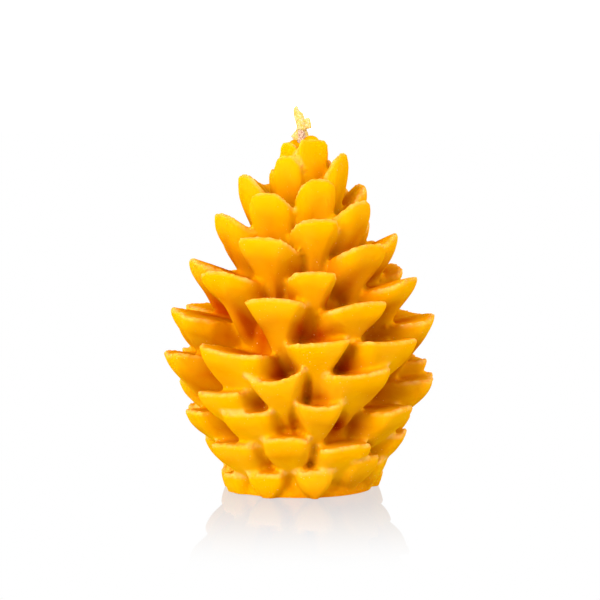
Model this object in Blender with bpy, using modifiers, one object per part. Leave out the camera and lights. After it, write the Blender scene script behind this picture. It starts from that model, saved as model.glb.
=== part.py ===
"""Beeswax candle cast in the shape of a pine cone, with its braided wick.

The candle stands on its flat base at Z = 0, with +Z up and the origin under the middle of the base.
The front of the candle looks towards -Y. Azimuths are in degrees from there, positive towards +X.
"""

import math

import bmesh
import bpy
import numpy as np
from mathutils import Vector

MM = 0.001

# Driving dimensions, in millimetres and degrees
BASE_RADIUS = 18.8
BASE_RIM = 1.2
BASE_TRIM = 2.0
WAX_TOP = 92.2
SPIRAL_FIRST = 9
SPIRAL_LAST = 93
SPIRAL_TURN = 37.6
SPIRAL_ZERO = 12.2
TIP_TOP = 91.6
TIP_PITCH = 1.10
TIP_PITCH_SLACKENING = 0.0014
ROLL = 3.0
EDGE_THICKNESS = 1.1
DECK_CUP = 0.10
HULL_POWER = 0.66
BEND_SHARE = 0.45
ROOT_SHARE = 0.3
LEAST_KEEL_ANGLE = 9.0
CORE_SIDES = 20

WICK_RADIUS = 1.1
WICK_CLEARANCE = 0.3
WICK_SIDES = 12
WICK_TIP = 99.3
WICK_LEAN = (-0.5, 0.2)
WICK_THINNING = 0.75
WICK_NECK = 1.2
COAT_FOOT = 93.6
COAT_TOP = 100.1
COAT_WALL = 0.45
COAT_FLAKE = 1.3
COAT_LOBE = 0.7
COAT_SIDES = 14

# Where a scale's loft has its sections, as shares of its length, and the points of each section
# from side to side: along the deck, then back under the keel
STATIONS = (0.0, 0.04, 0.13, 0.36, 0.8)
ACROSS = (-1.0, 1.0)
UNDER = (1.0, 0.74, 0.22, -0.22, -0.74, -1.0)

# Outlines over the height of a scale's tip: (height, value)
TIP_RADIUS = [(0, 19.5), (8, 24.0), (17, 28.8), (26, 32.6), (35, 35.2), (44, 35.4), (53, 32.8),
              (61, 28.8), (69, 24.6), (77, 19.6), (83, 15.6), (88, 11.5), (93, 8.0)]
TIP_TILT = [(0, -8), (17, -2), (26, 2), (35, 4), (44, 6), (53, 10), (61, 16), (69, 24), (77, 36),
            (83, 48), (93, 76)]
ROOT_TILT = [(0, -4), (17, 2), (35, 10), (53, 18), (61, 26), (69, 34), (83, 52), (93, 64)]
KEEL_SLOPE = [(0, 72), (7.6, 68), (9.5, 54), (15, 51), (26, 50), (35, 54), (44, 57), (61, 60),
              (69, 62), (77, 70), (83, 76), (93, 86)]
KEEL_DEPTH = [(0, 8), (8, 11), (26, 13), (44, 15), (53, 16), (69, 13), (83, 8), (93, 4)]
SCALE_WIDTH = [(0, 9.0), (8, 10.5), (17, 12.0), (26, 14.0), (35, 16.0), (44, 17.2), (53, 16.5),
               (61, 15.2), (73, 13.8), (83, 10.5), (93, 8.0)]
SHOULDER = [(0, 1.8), (44, 2.0), (53, 3.0), (61, 5.0), (77, 6.5), (93, 5.0)]
WEB_WIDTH = [(0, 3.6), (61, 3.6), (77, 4.6), (93, 5.5)]
ROOT_RADIUS = [(3, 16.8), (17, 16.8), (41, 15.0), (65, 10.0), (89, 3.4)]
CORE_OUTLINE = [(2.6, WAX_TOP), (3.4, 89.0), (5.4, 83.0), (8.2, 75.0), (11.3, 65.0), (15.0, 53.0),
                (18.0, 41.0), (18.8, 31.0), (18.0, 19.0), (17.0, 9.0), (17.0, 3.5),
                (BASE_RADIUS, BASE_RIM), (BASE_RADIUS, -BASE_TRIM)]

# Scales of the spiral that stray from their even place, by their number from the top
STRAYS = {
    9: dict(azimuth=17, height=82.6),
    10: dict(azimuth=-30, height=79.1),
    11: dict(azimuth=-66, height=83.1),
    12: dict(azimuth=-120, height=82.4),
    13: dict(azimuth=-150, height=78.6),
    14: dict(azimuth=178, height=77.6),
    15: dict(azimuth=146, height=78.6),
    16: dict(azimuth=105, height=80.1, radius=16.6),
    17: dict(azimuth=132, height=71.1, radius=21.5, width=12.0),
    18: dict(azimuth=52, height=76.6),
    19: dict(azimuth=11, height=72.6),
    20: dict(azimuth=-23, height=68.1, width=16.0, roll=-3),
    21: dict(azimuth=-69, height=73.2, radius=22.0),
    22: dict(azimuth=-106, height=68.0, radius=20.5, width=11.0),
    23: dict(azimuth=-145, height=66.2),
    24: dict(azimuth=-174, height=70.4),
    25: dict(azimuth=157, height=65.0),
    26: dict(azimuth=120, height=64.6, radius=24.0),
    27: dict(azimuth=85, height=67.6),
    28: dict(azimuth=45, height=66.1, roll=0),
    29: dict(azimuth=7, height=59.8, width=12.5, roll=0),
    30: dict(azimuth=-47, height=59.1),
    31: dict(azimuth=-80, height=61.1),
    32: dict(azimuth=-113, height=57.5, radius=26.0),
    33: dict(azimuth=-150, height=55.8),
    34: dict(azimuth=177, height=59.6),
    35: dict(azimuth=146, height=55.2),
    36: dict(azimuth=109, height=58.6, radius=27.2),
    37: dict(azimuth=67, height=56.6),
    38: dict(azimuth=28, height=51.6, roll=6),
    39: dict(azimuth=-12, height=53.1, width=15.8, roll=-1),
    40: dict(azimuth=-72, height=47.8, radius=33.6, roll=-4),
    41: dict(azimuth=-103, height=43.2, radius=31.5),
    42: dict(azimuth=-130, height=47.0),
    43: dict(azimuth=-166, height=49.8),
    44: dict(azimuth=159, height=45.2),
    45: dict(azimuth=122, height=45.0),
    46: dict(azimuth=82, height=45.6),
    47: dict(azimuth=45, height=41.3, roll=-1),
    48: dict(azimuth=8, height=42.0, width=16.8, roll=4),
    49: dict(azimuth=-32, height=38.8, roll=-6),
    50: dict(azimuth=-79, height=36.0),
    51: dict(azimuth=-114, height=35.5, radius=31.5),
    52: dict(azimuth=-146, height=37.2),
    53: dict(azimuth=-179, height=39.6),
    54: dict(azimuth=143, height=35.6),
    55: dict(azimuth=105, height=33.6, radius=33.0),
    56: dict(azimuth=88, height=29.6, radius=35.0),
    57: dict(azimuth=28, height=33.6, width=17.0, roll=5),
    58: dict(azimuth=-11, height=32.1, width=15.0, roll=8),
    59: dict(azimuth=-41, height=28.1),
    60: dict(azimuth=-100, height=28.5, radius=31.5),
    62: dict(azimuth=-161, height=30.6),
    63: dict(azimuth=165, height=27.4),
    64: dict(azimuth=129, height=28.4),
    65: dict(azimuth=100, height=26.0, radius=29.5),
    66: dict(azimuth=58, height=23.1),
    67: dict(azimuth=10, height=25.3, width=11.8, roll=1),
    69: dict(azimuth=-71, height=22.6, radius=30.4),
    70: dict(azimuth=-112, height=21.0),
    72: dict(azimuth=-177, height=21.4),
    73: dict(azimuth=148, height=18.4),
    74: dict(azimuth=111, height=19.4),
    75: dict(azimuth=80, height=15.6),
    76: dict(azimuth=28, height=14.3),
    77: dict(azimuth=-5, height=17.0, width=10.5, roll=4),
    78: dict(azimuth=-44, height=14.2),
    79: dict(azimuth=-98, height=14.0, radius=24.4),
    81: dict(azimuth=-155, height=12.6),
    82: dict(azimuth=170, height=10.4),
    83: dict(azimuth=117, height=10.8),
    84: dict(azimuth=74, height=8.6),
    85: dict(azimuth=44, height=10.5),
    86: dict(azimuth=11, height=7.6),
    88: dict(azimuth=-61, height=5.1, radius=21.5),
    89: dict(azimuth=-102, height=4.6, radius=21.0),
    91: dict(azimuth=-166, height=5.0),
    92: dict(azimuth=150, height=5.0),
    93: dict(azimuth=104, height=4.8),
}

# The crown round the wick, where the spiral ends
CROWN = [
    dict(azimuth=32, height=92.3, radius=6.6, width=8.0),
    dict(azimuth=-30, height=91.5, radius=5.4, width=6.4),
    dict(azimuth=-155, height=89.8, radius=5.4, width=7.5),
    dict(azimuth=125, height=90.4, radius=5.6, width=7.5),
    dict(azimuth=-24, height=88.1, radius=9.0, width=8.0),
    dict(azimuth=60, height=88.6, radius=12.0, width=9.5),
    dict(azimuth=142, height=86.6, radius=9.5, width=9.5),
    dict(azimuth=-172, height=86.0, radius=9.5, width=9.5),
    dict(azimuth=-125, height=84.4, radius=7.5, width=8.0),
    dict(azimuth=-78, height=84.0, radius=7.0, width=8.0),
]


def along(outline, height):
    """The value of an outline at a height."""
    heights, values = zip(*outline)
    return float(np.interp(height, heights, values))


def scale_places():
    """Azimuth, height, radius and width of every scale's tip, from the crown down to the base."""
    places = [dict(place) for place in CROWN]
    for number in range(SPIRAL_FIRST, SPIRAL_LAST + 1):
        azimuth = (SPIRAL_ZERO - SPIRAL_TURN * number + 180.0) % 360.0 - 180.0
        height = TIP_TOP - TIP_PITCH * number + TIP_PITCH_SLACKENING * number ** 2
        place = dict(azimuth=azimuth, height=height)
        place.update(STRAYS.get(number, {}))
        places.append(place)
    for place in places:
        place.setdefault("radius", along(TIP_RADIUS, place["height"]))
        place.setdefault("width", along(SCALE_WIDTH, place["height"]))
        place.setdefault("roll", ROLL)
    return places


class Scale:
    """One scale: a fan-shaped deck that narrows inwards, over a keel like a ship's bow."""

    def __init__(self, azimuth, height, radius, width, roll):
        turn = math.radians(azimuth)
        self.outward = Vector((math.sin(turn), -math.cos(turn), 0.0))
        self.sideways = Vector((math.cos(turn), math.sin(turn), 0.0))
        self.roll = math.radians(roll)
        self.half_width = width / 2
        self.half_web = along(WEB_WIDTH, height) / 2
        self.shoulder = along(SHOULDER, height)
        self.tip = np.array((radius, height))
        tip_tilt = math.radians(along(TIP_TILT, height))
        root_tilt = math.radians(along(ROOT_TILT, height))
        root_radius = ROOT_SHARE * along(ROOT_RADIUS, height)
        reach = BEND_SHARE * (radius - root_radius) / max(math.cos(tip_tilt), 0.4)
        self.middle = self.tip - reach * np.array((math.cos(tip_tilt), math.sin(tip_tilt)))
        drop = (self.middle[0] - root_radius) * math.tan(root_tilt)
        self.root = np.array((root_radius, self.middle[1] - drop))
        self.length = float(np.linalg.norm(self.tip - self.middle) + np.linalg.norm(self.middle - self.root))
        keel_angle = max(math.radians(along(KEEL_SLOPE, height)) - tip_tilt, math.radians(LEAST_KEEL_ANGLE))
        self.keel_rise = math.tan(keel_angle)
        self.keel_depth = along(KEEL_DEPTH, height)

    def deck(self, distance):
        """Point and inward direction of the deck's middle line, at a distance in from the tip."""
        share = distance / self.length
        a, b, c = self.tip, self.middle, self.root
        point = (1 - share) ** 2 * a + 2 * share * (1 - share) * b + share ** 2 * c
        slope = 2 * (1 - share) * (b - a) + 2 * share * (c - b)
        return point, slope / np.linalg.norm(slope)

    def reach(self, distance):
        """Half the deck's width there: round at the tip, widest just behind it, then a narrowing fan."""
        rounded = max(1.0 - distance / self.shoulder, 0.0)
        wide = 0.5 + 0.5 * (1 - rounded * rounded) ** 0.5
        inward = min(max((distance - self.shoulder) / (0.75 * self.length), 0.0), 1.0)
        fan = 1.0 - inward * inward * (3 - 2 * inward)
        return (self.half_web + (self.half_width - self.half_web) * fan) * wide

    def edge(self, distance):
        """Thickness of the scale along its sides."""
        return EDGE_THICKNESS * min(1.0, 0.6 + distance / 3.0)

    def depth(self, distance):
        """How far the keel hangs under the deck there."""
        straight = self.keel_rise * distance
        return self.edge(distance) + straight / (1 + (straight / self.keel_depth) ** 3) ** (1 / 3)

    def section(self, distance):
        """Closed ring of points round the scale there, along the deck and back under the keel."""
        point, inward = self.deck(distance)
        down = np.array((-inward[1], inward[0]))
        reach, depth, edge = self.reach(distance), self.depth(distance), self.edge(distance)
        cup = DECK_CUP * reach * min(distance / 3.0, 1.0)
        ring = [(x * reach, cup * x * x) for x in ACROSS]
        for x in UNDER:
            flare = (1 - abs(x)) ** HULL_POWER
            ring.append((0.97 * x * reach, cup * x * x - edge - (depth - edge) * flare))
        points = []
        for side, rise in ring:
            turned = side * math.cos(self.roll) - rise * math.sin(self.roll)
            rise = side * math.sin(self.roll) + rise * math.cos(self.roll)
            r, z = point - rise * down
            points.append(r * self.outward + turned * self.sideways + Vector((0, 0, z)))
        return points


def loft(bm, rings):
    """Adds one closed body through rings of points, which all have the same number of points."""
    made = [[bm.verts.new(p * MM) for p in ring] for ring in rings]
    count = len(made[0])
    for near, far in zip(made, made[1:]):
        for i in range(count):
            j = (i + 1) % count
            bm.faces.new((near[i], near[j], far[j], far[i]))
    bm.faces.new(made[0][::-1])
    bm.faces.new(made[-1])


def mesh_object(name, bm, collection):
    """Makes an object of a bmesh, with its faces pointing out."""
    bmesh.ops.recalc_face_normals(bm, faces=bm.faces)
    mesh = bpy.data.meshes.new(name)
    bm.to_mesh(mesh)
    bm.free()
    made = bpy.data.objects.new(name, mesh)
    collection.objects.link(made)
    return made


def material(name, colour, roughness):
    """A plain material with a colour and a roughness."""
    made = bpy.data.materials.new(name)
    made.use_nodes = True
    shader = made.node_tree.nodes["Principled BSDF"]
    shader.inputs["Base Color"].default_value = (*colour, 1.0)
    shader.inputs["Roughness"].default_value = roughness
    shader.inputs["Metallic"].default_value = 0.0
    return made


def frozen(shape):
    """Replaces an object's modifiers, or a curve, with the mesh that they make."""
    mesh = bpy.data.meshes.new_from_object(shape.evaluated_get(bpy.context.evaluated_depsgraph_get()))
    bm = bmesh.new()
    bm.from_mesh(mesh)
    bmesh.ops.remove_doubles(bm, verts=bm.verts, dist=0.01 * MM)
    bm.to_mesh(mesh)
    bm.free()
    made = bpy.data.objects.new(shape.name, mesh)
    made.matrix_world = shape.matrix_world
    shape.users_collection[0].objects.link(made)
    name = shape.name
    bpy.data.objects.remove(shape)
    made.name = name
    return made


def core(collection):
    """The solid middle that the scales grow from, turned round the wick, with the base's flat disc."""
    mesh = bpy.data.meshes.new("wax_body")
    points = [(0.0, 0.0, WAX_TOP)] + [(r, 0.0, z) for r, z in CORE_OUTLINE] + [(0.0, 0.0, -BASE_TRIM)]
    mesh.from_pydata([Vector(p) * MM for p in points], [(i, i + 1) for i in range(len(points) - 1)], [])
    turned = bpy.data.objects.new("wax_body", mesh)
    collection.objects.link(turned)
    screw = turned.modifiers.new("turn", "SCREW")
    screw.steps = screw.render_steps = CORE_SIDES
    screw.use_merge_vertices = True
    screw.merge_threshold = 0.00001
    return frozen(turned)


def scales(collection):
    """Every scale as a body of its own."""
    for i, place in enumerate(scale_places()):
        scale = Scale(**place)
        bm = bmesh.new()
        loft(bm, [scale.section(share * scale.length) for share in STATIONS])
        mesh_object(f"scale_{i:02d}", bm, collection)


def boolean(target, kind, operand):
    """Joins or cuts the target with an object or a whole collection, at once."""
    modifier = target.modifiers.new("join", "BOOLEAN")
    modifier.operation = kind
    modifier.solver = "EXACT"
    if isinstance(operand, bpy.types.Collection):
        modifier.operand_type = "COLLECTION"
        modifier.collection = operand
    else:
        modifier.object = operand
    return frozen(target)


def outer_skin_only(body):
    """Fills hollows that the joined scales have sealed, and drops scraps: the largest skin stays."""
    bm = bmesh.new()
    bm.from_mesh(body.data)
    unseen = set(bm.verts)
    skins = []
    while unseen:
        skin = {unseen.pop()}
        fresh = list(skin)
        while fresh:
            linked = {edge.other_vert(vert) for vert in fresh for edge in vert.link_edges} - skin
            skin |= linked
            fresh = list(linked)
        unseen -= skin
        skins.append(skin)
    skins.sort(key=len)
    inner = [vert for skin in skins[:-1] for vert in skin]
    bmesh.ops.delete(bm, geom=inner, context="VERTS")
    bm.to_mesh(body.data)
    bm.free()


def cutter(name, collection, radius, low, high):
    """An upright cylinder that only cuts."""
    bm = bmesh.new()
    bmesh.ops.create_cone(bm, cap_ends=True, segments=WICK_SIDES, radius1=radius * MM, radius2=radius * MM,
                          depth=(high - low) * MM)
    bmesh.ops.translate(bm, verts=bm.verts, vec=(0, 0, (high + low) / 2 * MM))
    made = mesh_object(name, bm, collection)
    made.hide_render = True
    made.display_type = "WIRE"
    return made


def wax_body(candle, cutters, repeats):
    """The cast wax: core and scales in one piece, flat below and bored for the wick."""
    body = core(candle)
    scales(repeats)
    body = boolean(body, "UNION", repeats)
    for scale in list(repeats.objects):
        bpy.data.objects.remove(scale)
    below = cutter("below_base", cutters, 2 * BASE_RADIUS, -2 * BASE_RADIUS, 0.0)
    body = boolean(body, "DIFFERENCE", below)
    bore = cutter("wick_bore", cutters, WICK_RADIUS + WICK_CLEARANCE, -BASE_TRIM, 1.1 * WAX_TOP)
    body = boolean(body, "DIFFERENCE", bore)
    outer_skin_only(body)
    body.data.materials.clear()
    body.data.materials.append(material("beeswax", (0.95, 0.46, 0.012), 0.42))


def wick_middle(height):
    """Middle of the wick at a height: upright in the wax, and leaning above it."""
    lean = max(height - WAX_TOP, 0.0) / (WICK_TIP - WAX_TOP)
    return Vector((WICK_LEAN[0] * lean, WICK_LEAN[1] * lean, height))


def wick_radius(height):
    """The braid is full below the crust, and pressed thinner inside it."""
    share = min(max((height - COAT_FOOT) / WICK_NECK + 1.0, 0.0), 1.0)
    return WICK_RADIUS * (1.0 + (WICK_THINNING - 1.0) * share)


def wick(collection):
    """The braided cotton wick, from the flat base up through the wax and out at the top."""
    heights = [0.0, WAX_TOP, COAT_FOOT - WICK_NECK / 2, COAT_FOOT, (COAT_FOOT + WICK_TIP) / 2, WICK_TIP]
    curve = bpy.data.curves.new("wick", "CURVE")
    curve.dimensions = "3D"
    curve.bevel_depth = WICK_RADIUS * MM
    curve.bevel_resolution = WICK_SIDES // 2 - 2
    curve.use_fill_caps = True
    spline = curve.splines.new("POLY")
    spline.points.add(len(heights) - 1)
    for point, height in zip(spline.points, heights):
        point.co = (*(wick_middle(height) * MM), 1.0)
        point.radius = wick_radius(height) / WICK_RADIUS
    made = bpy.data.objects.new("wick", curve)
    collection.objects.link(made)
    made = frozen(made)
    made.data.materials.append(material("cotton", (0.80, 0.68, 0.50), 0.9))


def bump(x, centre, width):
    """A smooth rise to 1 at the centre."""
    return math.exp(-((x - centre) / width) ** 2)


def coat_radius(azimuth, height):
    """The crust is lumpy: a flake stands out to the right, and a lobe hangs out at the lower left."""
    flake = COAT_FLAKE * bump(azimuth, 80, 32) * bump(height, COAT_FOOT + 3.0, 1.0)
    lobe = COAT_LOBE * bump(azimuth, -80, 40) * bump(height, COAT_FOOT + 0.6, 0.9)
    knobs = 0.10 * math.cos(math.radians(3 * azimuth) + height) + 0.08 * math.sin(1.9 * height)
    return wick_radius(height) + WICK_CLEARANCE + COAT_WALL + flake + lobe + knobs


def coat_ring(radius_of, height):
    """A ring of points round the wick at a height, with a radius for each azimuth."""
    ring = []
    for i in range(COAT_SIDES):
        azimuth = 360 * i / COAT_SIDES - 180
        turn = math.radians(azimuth)
        out = Vector((math.sin(turn), -math.cos(turn), 0.0))
        ring.append(wick_middle(height) + radius_of(azimuth, height) * out)
    return ring


def wick_coat(collection):
    """The flaky crust of wax on the wick's end: a thick cap, open below where the wick goes in."""
    roof = WICK_TIP + WICK_CLEARANCE
    crown = [(COAT_TOP, 0.35), (COAT_TOP - 0.4, 0.75), (COAT_TOP - 1.0, 0.92)]
    wall = [(COAT_FOOT + step, 1.0) for step in (4.8, 4.0, 3.3, 2.5, 1.5, 0.6, 0.0)]
    rings = [coat_ring(lambda a, z: share * coat_radius(a, z), height) for height, share in crown + wall]
    for height in (COAT_FOOT, (COAT_FOOT + roof) / 2, roof):
        rings.append(coat_ring(lambda a, z: wick_radius(z) + WICK_CLEARANCE, height))
    bm = bmesh.new()
    loft(bm, rings)
    made = mesh_object("wick_coat", bm, collection)
    made.data.materials.append(material("wax_crust", (1.0, 0.70, 0.13), 0.55))


def clear_scene():
    """Removes whatever the scene holds."""
    for shape in list(bpy.data.objects):
        bpy.data.objects.remove(shape)


def collection_named(name):
    """A new collection in the scene."""
    made = bpy.data.collections.new(name)
    bpy.context.scene.collection.children.link(made)
    return made


def main():
    clear_scene()
    candle = collection_named("pine_cone_candle")
    cutters = collection_named("cutters")
    repeats = collection_named("repeats")
    wax_body(candle, cutters, repeats)
    wick(candle)
    wick_coat(candle)
    bpy.data.collections.remove(repeats)


if __name__ == "__main__":
    main()
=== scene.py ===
"""Looks of the pine cone candle: cast beeswax, a braided cotton wick and the crust of wax on its end."""

import math

import bmesh
import bpy
import numpy as np
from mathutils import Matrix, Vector, bvhtree, kdtree, noise


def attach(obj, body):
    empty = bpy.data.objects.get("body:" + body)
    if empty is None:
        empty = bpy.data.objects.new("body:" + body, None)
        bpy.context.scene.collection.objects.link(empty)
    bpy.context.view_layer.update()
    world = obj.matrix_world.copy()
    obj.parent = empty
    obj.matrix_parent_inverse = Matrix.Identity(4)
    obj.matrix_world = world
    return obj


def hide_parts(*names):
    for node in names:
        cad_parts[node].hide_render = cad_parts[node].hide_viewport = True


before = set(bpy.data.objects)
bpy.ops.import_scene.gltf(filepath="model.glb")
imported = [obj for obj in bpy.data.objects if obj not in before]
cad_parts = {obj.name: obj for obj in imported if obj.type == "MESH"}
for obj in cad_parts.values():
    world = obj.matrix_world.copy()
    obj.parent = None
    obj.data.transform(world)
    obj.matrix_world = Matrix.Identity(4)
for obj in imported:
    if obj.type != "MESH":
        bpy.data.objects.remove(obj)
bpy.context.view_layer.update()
MM = 0.001

# The rule of the cone, in millimetres and degrees, much as the solids follow it
BASE_RADIUS = 18.8
BASE_RIM = 1.2
BASE_TRIM = 2.0
WAX_TOP = 92.2
SPIRAL_FIRST = 9
SPIRAL_LAST = 93
SPIRAL_TURN = 37.6
SPIRAL_ZERO = 12.2
FULL_TURN = 360.0
TIP_TOP = 91.6
TIP_PITCH = 1.10
TIP_PITCH_SLACKENING = 0.0014
ROLL = 3.0
BEND_SHARE = 0.45
ROOT_SHARE = 0.3
LEAST_KEEL_ANGLE = 9.0
WICK_TIP = 99.3
WICK_LEAN = (-0.5, 0.2)
COAT_FOOT = 93.6

# Over the height of a scale's tip, as (height, value): where the tip is, how the deck tilts at its tip
# and root, how steeply and how deep the keel runs under it, and how wide the scale is
TIP_RADIUS = [(0, 19.5), (8, 24.0), (17, 28.8), (26, 32.6), (35, 35.2), (44, 35.4), (53, 32.8),
              (61, 28.8), (69, 24.6), (77, 19.6), (83, 15.6), (88, 11.5), (93, 8.0)]
TIP_TILT = [(0, -8), (17, -2), (26, 2), (35, 4), (44, 6), (53, 10), (61, 16), (69, 24), (77, 36),
            (83, 48), (93, 76)]
ROOT_TILT = [(0, -4), (17, 2), (35, 10), (53, 18), (61, 26), (69, 34), (83, 52), (93, 64)]
KEEL_SLOPE = [(0, 72), (7.6, 68), (9.5, 52), (15, 50), (26, 47), (35, 51), (44, 55), (61, 60), (69, 62),
              (77, 70), (83, 76), (93, 86)]
KEEL_DEPTH = [(0, 8), (8, 11), (17, 13), (26, 14), (35, 16), (44, 19), (53, 20), (69, 16), (83, 9), (93, 4)]
SCALE_WIDTH = [(0, 9.0), (8, 10.5), (17, 12.0), (26, 14.0), (35, 16.0), (44, 17.2), (53, 16.5),
               (61, 15.2), (73, 13.8), (83, 10.5), (93, 8.0)]
SHOULDER = [(0, 1.8), (44, 2.0), (53, 3.0), (61, 5.0), (77, 6.5), (93, 5.0)]
WEB_WIDTH = [(0, 3.6), (61, 3.6), (77, 4.6), (93, 5.5)]
ROOT_RADIUS = [(3, 16.8), (17, 16.8), (41, 15.0), (65, 10.0), (89, 3.4)]
CORE_OUTLINE = [(1.4, WAX_TOP - 1.4), (2.3, WAX_TOP - 1.8), (3.4, 88.5), (5.4, 83.0), (8.2, 75.0),
                (11.5, 65.0), (15.5, 53.0), (18.6, 41.0), (19.4, 31.0), (18.4, 19.0), (17.4, 9.0),
                (17.2, 3.5), (BASE_RADIUS, BASE_RIM), (BASE_RADIUS, -BASE_TRIM)]

# Scales of the spiral that stray from their even place, by their number from the top
STRAYS = {
    9: dict(azimuth=17, height=82.6),
    10: dict(azimuth=-30, height=79.1),
    11: dict(azimuth=-66, height=83.1),
    12: dict(azimuth=-120, height=82.4),
    13: dict(azimuth=-150, height=80.0, width=10.0),
    14: dict(azimuth=178, height=77.0, width=11.0),
    15: dict(azimuth=146, height=79.2, width=10.5),
    16: dict(azimuth=105, height=80.1, radius=16.6),
    17: dict(azimuth=132, height=71.1, radius=21.5, width=12.0),
    18: dict(azimuth=52, height=76.6),
    19: dict(azimuth=11, height=72.6, width=12.8),
    20: dict(azimuth=-23, height=68.1, width=16.0, roll=-3),
    21: dict(azimuth=-69, height=73.2, radius=22.0),
    22: dict(azimuth=-106, height=68.0, radius=20.5, width=11.0),
    23: dict(azimuth=-145, height=66.2),
    24: dict(azimuth=-174, height=70.4),
    25: dict(azimuth=157, height=65.0),
    26: dict(azimuth=120, height=64.6, radius=24.0),
    27: dict(azimuth=85, height=67.6),
    28: dict(azimuth=45, height=66.1, roll=0),
    29: dict(azimuth=7, height=59.8, width=12.5, roll=0),
    30: dict(azimuth=-47, height=59.1),
    31: dict(azimuth=-80, height=61.1),
    32: dict(azimuth=-113, height=57.5, radius=26.0),
    33: dict(azimuth=-150, height=55.8),
    34: dict(azimuth=177, height=59.6),
    35: dict(azimuth=146, height=55.2),
    36: dict(azimuth=109, height=58.6, radius=27.2),
    37: dict(azimuth=67, height=56.6),
    38: dict(azimuth=28, height=51.6, roll=6),
    39: dict(azimuth=-12, height=53.1, width=15.8, roll=-1),
    40: dict(azimuth=-72, height=47.8, radius=33.6, roll=-4),
    41: dict(azimuth=-103, height=43.2, radius=31.5),
    42: dict(azimuth=-130, height=47.0),
    43: dict(azimuth=-166, height=49.8),
    44: dict(azimuth=159, height=45.2),
    45: dict(azimuth=122, height=45.0),
    46: dict(azimuth=82, height=45.6),
    47: dict(azimuth=44, height=41.3, width=18.4, roll=-1),
    48: dict(azimuth=8, height=42.0, width=16.8, roll=4),
    49: dict(azimuth=-32, height=38.8, width=18.5, roll=-6),
    50: dict(azimuth=-79, height=36.0),
    51: dict(azimuth=-114, height=35.5, radius=31.5),
    52: dict(azimuth=-146, height=37.2),
    53: dict(azimuth=-179, height=39.6),
    54: dict(azimuth=143, height=35.6),
    55: dict(azimuth=105, height=33.6, radius=33.0),
    56: dict(azimuth=88, height=29.6, radius=35.0),
    57: dict(azimuth=28, height=33.6, width=17.0, roll=5),
    58: dict(azimuth=-11, height=32.1, width=15.0, roll=8),
    59: dict(azimuth=-41, height=28.1),
    60: dict(azimuth=-100, height=28.5, radius=31.5),
    62: dict(azimuth=-161, height=30.6),
    63: dict(azimuth=165, height=27.4),
    64: dict(azimuth=129, height=28.4),
    65: dict(azimuth=100, height=26.0, radius=29.5),
    66: dict(azimuth=58, height=23.1),
    67: dict(azimuth=10, height=25.3, width=12.4, roll=1),
    68: dict(azimuth=-28, height=23.3),
    69: dict(azimuth=-71, height=21.9, radius=30.4),
    70: dict(azimuth=-112, height=21.0),
    72: dict(azimuth=-177, height=21.4),
    73: dict(azimuth=148, height=18.4),
    74: dict(azimuth=111, height=19.4),
    75: dict(azimuth=80, height=15.6),
    76: dict(azimuth=28, height=14.3, width=14.5),
    77: dict(azimuth=-8, height=17.0, width=11.8, roll=1),
    78: dict(azimuth=-44, height=14.2, width=14.5),
    79: dict(azimuth=-98, height=14.0, radius=24.4),
    81: dict(azimuth=-155, height=12.6),
    82: dict(azimuth=170, height=10.4),
    83: dict(azimuth=117, height=10.8),
    84: dict(azimuth=74, height=8.8, radius=23.2),
    85: dict(azimuth=44, height=10.5),
    86: dict(azimuth=10, height=7.6, width=9.6),
    87: dict(azimuth=-25, height=6.6, width=9.6),
    88: dict(azimuth=-61, height=5.1, radius=21.5),
    89: dict(azimuth=-102, height=4.6, radius=21.0),
    91: dict(azimuth=-166, height=5.0),
    92: dict(azimuth=150, height=5.0),
    93: dict(azimuth=104, height=4.8),
}

# The crown round the wick, where the spiral ends
CROWN = [
    dict(azimuth=28, height=92.3, radius=6.6, width=9.6, corner=0.65, sag=-0.10, roll=2),
    dict(azimuth=-30, height=91.5, radius=5.4, width=6.4, corner=0.4),
    dict(azimuth=-155, height=89.8, radius=5.4, width=7.5),
    dict(azimuth=125, height=90.4, radius=5.6, width=7.5),
    dict(azimuth=-24, height=88.1, radius=9.0, width=8.0),
    dict(azimuth=60, height=88.6, radius=12.0, width=9.5),
    dict(azimuth=142, height=87.2, radius=9.5, width=8.6),
    dict(azimuth=-172, height=85.4, radius=9.8, width=8.8),
    dict(azimuth=-125, height=84.4, radius=7.5, width=8.0),
    dict(azimuth=-78, height=84.0, radius=7.0, width=8.0),
]

# Scales in front whose faces stray from the even ones below, by their number from the top
FACES = {
    19: dict(corner=0.65, bowl=7.5, power=1.7, curve=1.4, flank=0.15),
    20: dict(corner=0.65, bowl=11.0, power=1.3, curve=1.5, flank=0.4),
    29: dict(corner=0.7, bowl=10.5, power=1.4, curve=1.6, flank=0.6),
    38: dict(corner=0.75),
    39: dict(sag=-0.12, corner=0.75, bowl=13.0, power=1.1, curve=1.4, flank=0.6),
    47: dict(bowl=10.5, power=2.2, curve=1.0, flank=1.2),
    48: dict(sag=0.05, bowl=9.0, power=1.2, curve=1.0, flank=0.5),
    49: dict(sag=0.12, bowl=11.5, power=2.4, curve=0.7),
    57: dict(sag=0.10),
    58: dict(sag=0.30, bowl=9.5, power=1.3, curve=1.0, flank=0.6),
    59: dict(sag=0.06, bowl=10.5, power=2.2, curve=0.9, flank=0.5),
    67: dict(sag=0.20, bowl=11.0, power=1.3, curve=0.9, flank=0.6),
    68: dict(sag=0.04, bowl=12.5, power=2.4, curve=0.9, flank=0.3),
    76: dict(sag=-0.06, corner=0.4, bowl=10.5, power=2.3, curve=1.0, flank=0.3),
    77: dict(sag=-0.12, corner=0.5, bowl=11.0, power=2.6, curve=0.9, flank=0.3),
    78: dict(sag=-0.04, corner=0.4, bowl=11.0, power=2.3, curve=0.9, flank=0.3),
    86: dict(sag=-0.06, corner=0.45, bowl=8.0, power=2.4, curve=0.9, flank=0.2),
    87: dict(sag=-0.06, corner=0.45, bowl=8.0, power=2.4, curve=0.9, flank=0.2),
}

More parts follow.
